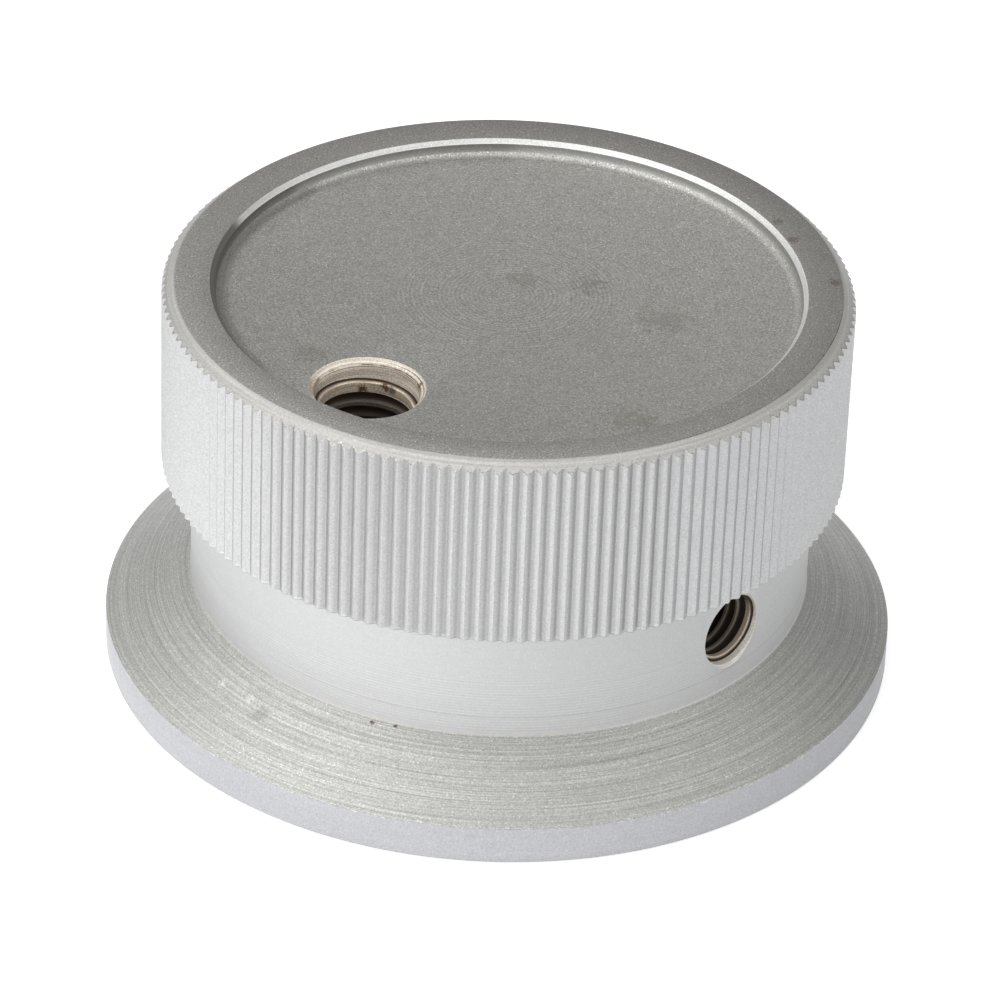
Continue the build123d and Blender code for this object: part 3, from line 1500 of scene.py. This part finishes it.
FINISHES: dict[Zone, MetalFinish] = {
    Zone.BASE: MetalFinish((0.60, 0.60, 0.59), ring_contrast=0.1, ring_pitch=0.3, grain_contrast=0.12),
    Zone.SKIRT_RIM: MetalFinish(
        (0.49, 0.49, 0.505),
        run=Run.UPWARD,
        grain_contrast=0.24,
        glints=0.15,
        marks=(
            WornAndShadedEdge(Run.UPWARD, 3.3, 0.22, size=0.7, share=0.55, colour=BRIGHT, strength=0.8),
            # Painted shade in spots along the rim's lower edge, where it stands on the table.
            WornAndShadedEdge(Run.UPWARD, 0.0, 0.3, size=0.9, share=0.3, colour=SHADOW, strength=0.4),
        ),
    ),
    Zone.SKIRT: MetalFinish(
        (0.51, 0.515, 0.49),
        grain_contrast=0.42,
        glints=0.4,
        ring_contrast=0.34,
        ring_pitch=0.1,
        ring_breaks=1.2,
        marks=(
            ToolAndLightLine(Run.OUTWARD, 25.15, 0.15, breaks=0.8, size=1.2, colour=BEIGE, strength=0.15),
            Patch((-21.5, -17.3, 5.9), 0.45, raggedness=1.4, size=0.2, colour=BRIGHT, strength=0.6),
            Patch((-19.2, -19.6, 6.0), 0.5, raggedness=1.4, size=0.2, colour=BRIGHT, strength=0.5),
            Patch((-18.3, -21.0, 5.8), 1.0, raggedness=0.8, size=0.5, colour=SHADOW, strength=0.3),
            Patch((-9.42, -23.65, 7.1), 0.3, raggedness=0.5, size=0.3, colour=RUST, strength=0.8, dirt_and_shade=0.5),
            Patch((-7.61, -24.16, 7.2), 0.25, raggedness=0.5, size=0.3, colour=RUST, strength=0.8, dirt_and_shade=0.5),
            WornAndShadedEdge(
                Run.OUTWARD, 25.9, 0.7, size=0.4, share=0.2,
                colour=RUST, strength=0.5, dirt_and_shade=0.4, arc=Arc(-88, 24),
            ),
            WornAndShadedEdge(Run.OUTWARD, 31.9, 0.2, size=0.6, share=0.45, colour=BRIGHT, strength=0.5),
        ),
    ),
    Zone.NECK: MetalFinish(
        (0.60, 0.60, 0.60),
        run=Run.UPWARD,
        ring_pitch=0.26,
        ring_contrast=0.045,
        ring_breaks=0.6,
        ring_evenness=1.0,
        ring_span=(7.0, 12.5),
        grain_contrast=0.1,
        glints=0.1,
        marks=(
            # A fine tool groove round the neck, drawn as a dark line: painted shade in the groove, on an arc
            # round the front right only.
            ToolAndLightLine(
                Run.UPWARD, 8.98, 0.07, breaks=0.4, size=3.0, colour=SHADOW, strength=0.2, arc=Arc(-60, 75)
            ),
            # Painted highlight along the fillet at the neck's foot.
            ToolAndLightLine(Run.UPWARD, 7.4, 0.3, breaks=0.9, size=1.5, colour=CREAM, strength=0.22),
        ),
    ),
    Zone.UNDERSIDE: MetalFinish((0.60, 0.60, 0.60)),
    Zone.KNURL: MetalFinish(
        (0.565, 0.565, 0.565),
        run=Run.UPWARD,
        ring_contrast=0.0,
        grain_contrast=0.24,
        glints=0.12,
        pits=0.14,
        bump=0.003,
        marks=(
            # Painted shade in the knurl's grooves, on the front only.
            ShadeFade(Run.OUTWARD, 27.42, 27.22, colour=SHADOW, strength=0.27, arc=Arc(-96, 34)),
            WornAndShadedEdge(Run.UPWARD, 17.75, 0.35, size=0.6, share=0.5, colour=BRIGHT, strength=0.4),
        ),
    ),
    # The burr strip is darker than the chamfer: partly a real burr, partly painted shade in the crease under
    # the chamfer.
    Zone.KNURL_BURR_SHADE: MetalFinish((0.50, 0.49, 0.46), grain_contrast=0.8),
    Zone.HEAD_CHAMFER: MetalFinish(
        (0.60, 0.595, 0.57),
        roughness=0.55,
        grain_contrast=0.22,
        glints=0.15,
        ring_contrast=0.22,
        ring_pitch=0.2,
    ),
    Zone.HEAD_TOP: MetalFinish(
        (0.44, 0.43, 0.41),
        grain_contrast=0.7,
        glints=0.8,
        pits=0.2,
        marks=(
            # Painted shade along the head top's outer edge, on the front right.
            ToolAndLightLine(Run.OUTWARD, 26.46, 0.12, breaks=0.5, colour=SHADOW, strength=0.8, arc=Arc(-35, 28)),
            Patch((22.62, 8.25, 33.58), 0.7, raggedness=0.8, size=0.3, colour=RUST, strength=0.6, dirt_and_shade=0.3),
            Patch((25.81, 1.65, 33.58), 0.8, raggedness=0.8, size=0.3, colour=RUST, strength=0.6, dirt_and_shade=0.3),
            Patch((21.48, 11.08, 33.58), 0.6, raggedness=0.8, size=0.3, colour=STAIN, strength=0.7),
        ),
    ),
    Zone.DISH_EDGE: MetalFinish(
        (0.84, 0.84, 0.82),
        roughness=0.5,
        grain_contrast=0.25,
        run=Run.UPWARD,
        ring_contrast=0.12,
        ring_pitch=0.15,
        # Painted shade on the dish's edge on the near left.
        marks=(ShadeFade(Run.OUTWARD, 22.0, 22.1, colour=SHADOW, strength=0.85, arc=Arc(-162, 38)),),
    ),
    Zone.DISH_WALL: MetalFinish(
        (0.47, 0.47, 0.46),
        roughness=0.5,
        grain_contrast=0.25,
        run=Run.UPWARD,
        ring_contrast=0.15,
        ring_pitch=0.15,
        marks=(
            # Painted shade: the dish wall darker at the back left and at the left.
            ShadeFade(Run.OUTWARD, 21.0, 21.1, colour=SHADOW, strength=0.35, arc=Arc(140, 50)),
            ShadeFade(Run.OUTWARD, 21.0, 21.1, colour=SHADOW, strength=0.5, arc=Arc(-175, 45)),
        ),
    ),
    Zone.DISH_FLOOR: MetalFinish(
        (0.51, 0.505, 0.475),
        grain_contrast=0.68,
        glints=1.0,
        pits=0.3,
        ring_contrast=0.1,
        ring_pitch=0.36,
        ring_evenness=1.0,
        ring_span=(-1.0, 9.0),
        marks=(
            # Painted shade in the dish's corner, on the left.
            ShadeFade(Run.OUTWARD, 21.9, 22.6, colour=SHADOW, strength=0.4, arc=Arc(175, 40)),
            Patch((12.35, -2.92, 32.28), 2.6, raggedness=0.9, size=0.9, colour=STAIN, strength=0.28),
            Patch((10.1, -18.3, 32.28), 2.4, raggedness=1.2, size=0.7, colour=STAIN, strength=0.42, dirt_and_shade=0.3),
            Patch((6.41, 2.09, 32.28), 2.0, raggedness=1.0, size=0.6, colour=STAIN, strength=0.3),
            Patch((1.1, 2.2, 32.28), 1.8, raggedness=1.0, size=0.8, colour=STAIN, strength=0.25),
            Patch((-15.2, -10.2, 32.28), 1.8, raggedness=1.0, size=0.5, colour=STAIN, strength=0.3),
        ),
    ),
    Zone.HANDLE_MOUTH: MetalFinish(
        (0.86, 0.78, 0.67),
        metallic=0.35,
        grain_contrast=0.5,
        run=Run.INTO_HOLE,
        ring_pitch=0.1,
        ring_contrast=1.0,
        hole=HANDLE_HOLE.mouth,
        marks=(
            ToolAndLightLine(Run.INTO_HOLE, 0.42, 0.06, breaks=0.7, size=2.0, colour=RUST, strength=0.9, dirt_and_shade=0.5),
            ToolAndLightLine(Run.INTO_HOLE, 0.60, 0.04, breaks=0.8, size=2.0, colour=RUST, strength=0.5),
            ToolAndLightLine(Run.INTO_HOLE, 0.85, 0.04, breaks=0.9, size=1.2, colour=RUST, strength=0.4),
            Patch((-14.4, -14.8, 31.8), 2.2, raggedness=1.0, size=0.5, colour=BROWN, strength=0.65),
            Patch((-6.65, -13.66, 31.9), 0.5, raggedness=0.8, size=0.3, colour=RUST, strength=0.9, dirt_and_shade=0.6),
        ),
    ),
    Zone.HANDLE_THREAD: MetalFinish(
        (0.70, 0.60, 0.48),
        metallic=0.3,
        grain_contrast=0.6,
        run=Run.INTO_HOLE,
        ring_pitch=0.12,
        ring_contrast=0.7,
        hole=HANDLE_HOLE.mouth,
        marks=(
            # Painted shade down the hole: darker further in, darkest in the thread's roots and at the bottom,
            # with the metal made matte there too.
            ShadeFade(Run.INTO_HOLE, 2.75, 3.3, colour=HANDLE_HOLE_SHADE, strength=0.85, dirt_and_shade=0.6),
            ShadeFade(Run.ACROSS_HOLE, 3.62, 3.95, colour=HANDLE_GROOVE_SHADE, dirt_and_shade=1.0),
            ShadeFade(Run.INTO_HOLE, 4.0, 5.0, colour=DEEP_HOLE_SHADE, dirt_and_shade=1.0),
            Patch((-11.14, -11.28, 30.0), 0.55, raggedness=0.6, size=0.3, colour=RUST, dirt_and_shade=0.8),
            Patch((-9.36, -11.47, 30.3), 0.5, raggedness=0.6, size=0.3, colour=RUST, dirt_and_shade=0.8),
            Patch((-8.8, -11.74, 30.2), 0.6, raggedness=0.3, size=0.25, colour=SHADOW, strength=0.9),
        ),
    ),
    Zone.SCREW_MOUTH: MetalFinish(
        (0.80, 0.76, 0.69),
        metallic=0.35,
        grain_contrast=0.35,
        run=Run.INTO_HOLE,
        ring_pitch=0.06,
        ring_contrast=0.7,
        hole=SET_SCREW_HOLE.mouth,
        marks=(WornAndShadedEdge(Run.ACROSS_HOLE, 3.3, 0.12, size=0.8, share=0.8, colour=BRIGHT),),
    ),
    Zone.SCREW_THREAD: MetalFinish(
        (0.60, 0.51, 0.40),
        metallic=0.3,
        run=Run.INTO_HOLE,
        ring_contrast=0.2,
        hole=SET_SCREW_HOLE.mouth,
        marks=(
            # Painted shade down the hole: darker further in, darkest in the thread's roots and at the bottom,
            # with the metal made matte there too.
            ShadeFade(Run.INTO_HOLE, 1.0, 2.2, colour=SCREW_HOLE_SHADE, strength=0.75),
            ShadeFade(Run.ACROSS_HOLE, 2.66, 2.86, colour=SCREW_GROOVE_SHADE, dirt_and_shade=1.0),
            ShadeFade(Run.INTO_HOLE, 3.4, 4.6, colour=DEEP_HOLE_SHADE, dirt_and_shade=1.0),
        ),
    ),
    Zone.SHAFT_BORE: MetalFinish((0.58, 0.58, 0.57), run=Run.UPWARD, ring_contrast=0.12),
}


class FinishBook:
    """The knob's materials, one to a zone."""

    def __init__(self) -> None:
        """Builds every zone's material."""
        self.materials = {zone: FINISHES[zone].dress(zone.value) for zone in Zone}

    def cover(self, mesh: bpy.types.Mesh) -> None:
        """Gives a mesh all the materials, in the order of the zones' slots."""
        for material in self.materials.values():
            mesh.materials.append(material)


class Knob:
    """The whole knob: its turned body and knurl, with the holes cut, as one closed mesh."""

    dish_margin = 2.0
    weld_distance = 0.004

    def __init__(self, finishes: FinishBook) -> None:
        """Takes the materials of the zones."""
        self.finishes = finishes

    def _turned(self) -> bmesh.types.BMesh:
        """Turns the plain surfaces, with the dish moved to its place.

        Returns:
            The surfaces, in metres.
        """
        bm = bmesh.new()
        spin(bm, BODY.below_the_knurl(BAND), BAND.angles)
        spin(bm, BODY.above_the_knurl(BAND), BAND.angles)
        lowest, widest = BAND.top - self.dish_margin, BAND.radius - self.dish_margin
        dish = [vert for vert in bm.verts if vert.co.z > lowest and vert.co.xy.length < widest]
        bmesh.ops.translate(bm, vec=(0.0, -BODY.dish_drift, 0.0), verts=dish)
        bmesh.ops.scale(bm, vec=(MILLIMETRE,) * 3, verts=bm.verts)
        return bm

    def _blank(self) -> bpy.types.Object:
        """Joins the turned surfaces and the knurl.

        Returns:
            The closed blank.
        """
        bm = self._turned()
        repeat = RoundRepeat()
        parts = ((BAND.rib(), Zone.KNURL, BAND.waver), (BAND.scallop(), Zone.HEAD_CHAMFER, 0.0))
        for sector, zone, waver in parts:
            slots = [polygon.material_index for polygon in sector.polygons] * BAND.count
            band = repeat.repeat(zone.value, sector, BAND.count, self.finishes.materials[zone], waver)
            first = len(bm.faces)
            bm.from_mesh(band)
            bm.faces.ensure_lookup_table()
            for added, slot in zip(bm.faces[first:], slots):
                added.material_index = slot
            log.info("%s: %d faces", zone.value, len(band.polygons))
        bmesh.ops.remove_doubles(bm, verts=bm.verts, dist=self.weld_distance * MILLIMETRE)
        bmesh.ops.recalc_face_normals(bm, faces=bm.faces)
        open_edges = sum(1 for edge in bm.edges if not edge.is_manifold)
        log.info("blank: %d faces, %d open edges", len(bm.faces), open_edges)
        mesh = bpy.data.meshes.new("knob_body")
        bm.to_mesh(mesh)
        bm.free()
        self.finishes.cover(mesh)
        return shown("knob_body", mesh)

    def build(self) -> bpy.types.Object:
        """Cuts the holes in the blank and smooths it.

        Returns:
            The finished knob.
        """
        blank = self._blank()
        cutters = [hole.cutter() for hole in (ShaftBore(), HANDLE_HOLE.hole(), SET_SCREW_HOLE.hole())]
        for cutter in cutters:
            self.finishes.cover(cutter.data)
            cut = blank.modifiers.new(cutter.name, "BOOLEAN")
            cut.operation = "DIFFERENCE"
            cut.solver = "EXACT"
            cut.object = cutter
            cut.material_mode = "INDEX"
        mesh = plain_mesh(blank)
        mesh.name = "knob_body"
        blank.modifiers.clear()
        blank.data = mesh
        for cutter in cutters:
            bpy.data.objects.remove(cutter)
        mesh.shade_smooth()
        mesh.set_sharp_from_angle(angle=radians(SMOOTH_BELOW))
        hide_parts("knob")
        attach(blank, "root")
        log.info("knob_body: %d faces", len(mesh.polygons))
        return blank


# Studio


@dataclass
class PhotoCamera:
    """The camera, standing where the photograph was taken from."""

    place: Point = (0.0, -387.58, 260.01)
    aim: Point = (-0.0964, 0.0, 13.038)
    roll: float = 2.1732
    lens: float = 204.19
    sensor: float = 36.0
    nearest: float = 0.01
    farthest: float = 20.0

    def build(self) -> None:
        """Makes the camera and gives it to the scene."""
        data = bpy.data.cameras.new("photo_camera")
        data.lens, data.sensor_width = self.lens, self.sensor
        data.clip_start, data.clip_end = self.nearest, self.farthest
        camera = shown("photo_camera", data)
        ahead = (Vector(self.aim) - Vector(self.place)).normalized()
        level = ahead.cross(Vector((0.0, 0.0, 1.0))).normalized()
        down = ahead.cross(level)
        turn = radians(self.roll)
        right = level * cos(turn) - down * sin(turn)
        up = -(level * sin(turn) + down * cos(turn))
        axes = Matrix((right, up, -ahead)).transposed().to_4x4()
        camera.matrix_world = Matrix.Translation(Vector(self.place) * MILLIMETRE) @ axes
        bpy.context.scene.camera = camera


@dataclass(frozen=True)
class SkyGlow:
    """A soft round glow in the sky: where its middle is, in degrees, and how bright it is there."""

    azimuth: float
    elevation: float
    strength: float

    def direction(self) -> Point:
        """Gives the direction of the middle of the glow."""
        azimuth, elevation = radians(self.azimuth), radians(self.elevation)
        return (cos(azimuth) * cos(elevation), sin(azimuth) * cos(elevation), sin(elevation))


@dataclass(frozen=True)
class MirroredFloorGlow:
    """A glowing spot on the table beside the knob that shows only in the metal: a painted reflection of
    light, with no lamp behind it.
    """

    azimuth: float
    strength: float
    distance: float = 70.0
    reach: float = 110.0

    def place(self) -> Point:
        """Gives the middle of the glowing spot on the table, in metres."""
        azimuth, distance = radians(self.azimuth), self.distance * MILLIMETRE
        return (distance * cos(azimuth), distance * sin(azimuth), 0.0)


@dataclass
class Studio:
    """A pale table under soft light that is strongest on the front left."""

    floor_size: float = 6000.0
    floor_colour: Colour = (0.86, 0.865, 0.88)
    backdrop_glow: float = 0.5
    sky_level: float = 0.35
    glow_edge: float = 0.55
    key: SkyGlow = SkyGlow(-140, 45, 0.9)
    fill: SkyGlow = SkyGlow(-30, 30, 0.6)
    back_light: SkyGlow = SkyGlow(150, 45, 0.5)
    top_light: SkyGlow = SkyGlow(0, 90, 0.2)
    # The table's glow seen only in the metal: an even level, and a brighter spot on the front left that is a
    # painted reflection.
    mirrored_glow_level: float = 0.2
    mirrored_spot: MirroredFloorGlow = MirroredFloorGlow(-140, 0.7)

    def build(self) -> None:
        """Makes the sky, the table and the plain view settings."""
        self._sky()
        self._table()
        bpy.context.scene.view_settings.view_transform = "Standard"

    def _sky(self) -> None:
        """Makes the world: an even grey with soft glows."""
        world = bpy.data.worlds.new("studio_sky")
        world.use_nodes = True
        bpy.context.scene.world = world
        sheet = NodeSheet(world.node_tree)
        direction = sheet.add("ShaderNodeTexCoord").outputs["Generated"]
        level: object = self.sky_level
        for glow in (self.key, self.fill, self.back_light, self.top_light):
            nearness = sheet.vector("DOT_PRODUCT", direction, glow.direction())
            share = sheet.ramp(nearness, self.glow_edge, 1.0)
            level = sheet.math("MULTIPLY_ADD", share, glow.strength, level)
        light = sheet.add("ShaderNodeBackground", {"Color": sheet.grey(level), "Strength": 1.0})
        sheet.add("ShaderNodeOutputWorld", {"Surface": light.outputs[0]})

    def _table(self) -> None:
        """Makes the table top at the height of the knob's base."""
        bm = bmesh.new()
        bmesh.ops.create_grid(bm, x_segments=1, y_segments=1, size=self.floor_size / 2)
        table = shown("table", mesh_from(bm, "table"))
        material, sheet = node_material("table_paper")
        paper = sheet.add("ShaderNodeBsdfDiffuse", {"Color": (*self.floor_colour, 1.0)})
        # Besides the even backdrop glow for the camera, the table glows for glossy and transmission rays
        # only: painted reflections in the metal.
        path = sheet.add("ShaderNodeLightPath").outputs
        mirrored = sheet.math("MAXIMUM", path["Is Glossy Ray"], path["Is Transmission Ray"])
        place = sheet.add("ShaderNodeTexCoord").outputs["Object"]
        distance = sheet.vector("DISTANCE", place, self.mirrored_spot.place())
        mirrored_spot = sheet.ramp(distance, 0.0, self.mirrored_spot.reach * MILLIMETRE, self.mirrored_spot.strength, 0.0)
        level = sheet.times(path["Is Camera Ray"], self.backdrop_glow)
        for seen_in_metal in (self.mirrored_glow_level, mirrored_spot):
            level = sheet.math("MULTIPLY_ADD", mirrored, seen_in_metal, level)
        glow = sheet.add("ShaderNodeEmission", {"Strength": level})
        both = sheet.add("ShaderNodeAddShader", {0: paper.outputs[0], 1: glow.outputs[0]})
        sheet.add("ShaderNodeOutputMaterial", {"Surface": both.outputs[0]})
        table.data.materials.append(material)


def main() -> None:
    """Builds the knob, the studio and the camera."""
    logging.basicConfig(level=logging.INFO, format="%(name)s: %(message)s")
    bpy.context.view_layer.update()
    Knob(FinishBook()).build()
    Studio().build()
    PhotoCamera().build()


if __name__ == "__main__":
    main()
